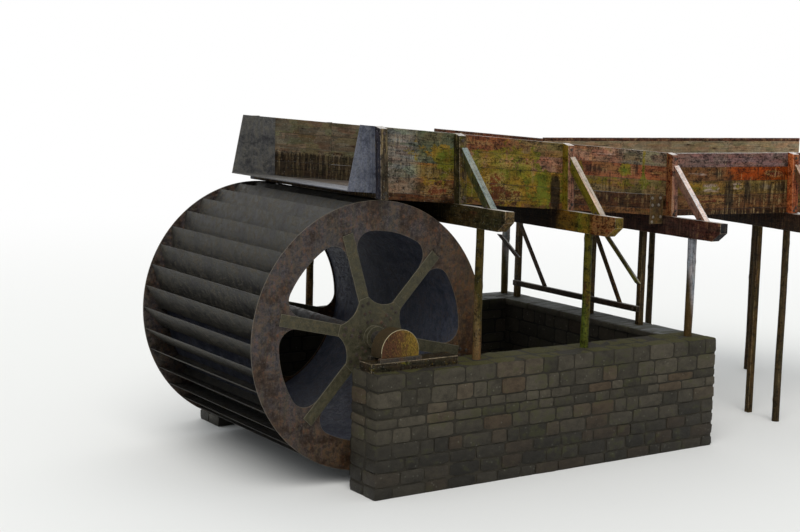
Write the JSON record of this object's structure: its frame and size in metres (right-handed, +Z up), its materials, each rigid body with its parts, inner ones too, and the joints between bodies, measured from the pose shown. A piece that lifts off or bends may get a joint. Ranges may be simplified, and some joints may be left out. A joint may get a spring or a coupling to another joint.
{
  "type": "overshot watermill with timber flume",
  "caption": "Overshot water wheel of rusted steel plate on a shaft in a masonry pit, fed from above by a bent timber flume on braced cross-beams, logs and a trestle.",
  "frame": {"origin": "on the ground under the middle of the whole assembly's box, at the foot of the pit walls and posts", "axes": "+X upstream along the wheel flume, +Y away from the near side and along the wheel's shaft, +Z up"},
  "size_m": [12.788, 6.1656, 4.7271],
  "materials": {
    "wheel_steel": "rusted steel plate, wet",
    "arm_steel": "rusted steel bar with olive film",
    "shaft_steel": "dark greased steel",
    "pit_masonry": "wet dark masonry",
    "coping_stone": "pale weathered slab",
    "sill_timber": "mossy old timber",
    "bearing_iron": "dark rusted iron",
    "cover_steel": "ochre rusted sheet",
    "spout_steel": "wet blue-grey plate",
    "plate_steel": "rusted plate",
    "flume_boards": "boards with moss over red-brown",
    "approach_boards": "red-brown weathered boards",
    "side_post_timber": "olive weathered post",
    "brace_timber": "wet pale square timber",
    "beam_timber": "dark wet beam with moss",
    "log_timber": "weathered log",
    "trestle_timber": "dark wet timber"
  },
  "bodies": {
    "structure": {"near_pit_wall": "pit_masonry", "far_pit_wall": "pit_masonry", "end_pit_wall": "pit_masonry", "end_coping": "coping_stone", "near_sill": "sill_timber", "far_sill": "sill_timber", "near_rails": "bearing_iron", "far_rails": "bearing_iron", "near_bearing": "bearing_iron", "far_bearing": "bearing_iron", "near_bearing_cover": "cover_steel", "far_bearing_cover": "cover_steel", "spout": "spout_steel", "near_flume_wall": "flume_boards", "far_flume_wall": "flume_boards", "flume_floor": "flume_boards", "near_approach_wall": "approach_boards", "far_approach_wall": "approach_boards", "approach_floor": "approach_boards", "near_side_posts": "side_post_timber", "far_side_posts": "side_post_timber", "near_braces": "brace_timber", "far_braces": "brace_timber", "beam_1": "beam_timber", "beam_2": "beam_timber", "beam_3": "beam_timber", "approach_beams": "beam_timber", "near_logs": "log_timber", "far_logs": "log_timber", "trestle_posts": "trestle_timber", "trestle_tie": "trestle_timber", "trestle_struts": "trestle_timber", "bend_plates": "plate_steel"},
    "wheel": {"near_shroud": "wheel_steel", "far_shroud": "wheel_steel", "near_arms": "arm_steel", "far_arms": "arm_steel", "near_hub": "arm_steel", "far_hub": "arm_steel", "wheel_shaft": "shaft_steel", "wheel_drum": "wheel_steel", "buckets": "wheel_steel"}
  },
  "joints": [
    {"name": "wheel_turn", "type": "hinge", "parent": "structure", "child": "wheel", "pos_m": [-4.59414, 0.29281, 1.95], "axis": [0, 1, 0], "continuous": true}
  ]
}
